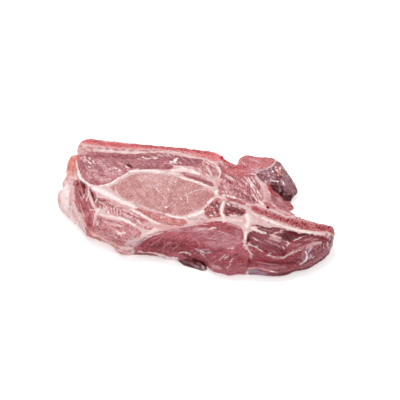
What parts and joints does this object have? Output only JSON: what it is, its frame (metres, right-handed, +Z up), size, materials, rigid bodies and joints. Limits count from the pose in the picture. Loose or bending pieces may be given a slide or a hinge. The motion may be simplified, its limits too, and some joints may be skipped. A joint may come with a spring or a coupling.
{
  "type": "raw bone-in pork loin slice",
  "caption": "Raw bone-in pork loin slice from the blade end, lying flat: sawn back bones along one edge, a rib at one end, lean muscles parted by fat seams.",
  "frame": {"origin": "middle of the bounding box at its base, where the slice rests", "axes": "+X along the sawn midline edge from the back fat to the rib end, +Y towards the sawn edge, +Z up out of the shown cut face"},
  "size_m": [0.2243, 0.1099, 0.0209],
  "materials": {
    "bone": "sawn spongy bone, moist, red with marrow",
    "fat": "soft back fat and seam fat, pale, moist and slightly greasy",
    "pale_lean": "raw pale pink lean, cut across the grain, moist",
    "dark_lean": "raw dark red lean, cut across the grain, moist",
    "membrane": "thin wet membrane over lean, silvery pink",
    "weathered_lean": "outer muscle, dark purple, moist"
  },
  "bodies": {
    "root": {"feather_bone": "bone", "vertebra": "bone", "rib_bone": "bone", "fat_and_seams": "fat", "loin_eye": "pale_lean", "ribbon_muscle": "pale_lean", "band_muscle": "pale_lean", "lower_left_muscle": "pale_lean", "corner_muscle": "pale_lean", "deep_back_muscle": "pale_lean", "spinalis": "dark_lean", "upper_muscle": "dark_lean", "sliver_muscle": "dark_lean", "multifidus": "dark_lean", "round_muscle_left": "dark_lean", "round_muscle_right": "dark_lean", "outer_band_muscle": "dark_lean", "lower_centre_muscle": "dark_lean", "under_rib_muscle": "dark_lean", "recessed_muscle": "dark_lean", "flank_muscle": "dark_lean", "rib_end_muscle": "dark_lean", "belly_muscle": "dark_lean", "rib_tip_muscle": "dark_lean", "chest_lining": "membrane", "silver_flap": "membrane", "neck_muscle": "weathered_lean", "hanging_scrap": "weathered_lean"}
  },
  "joints": []
}
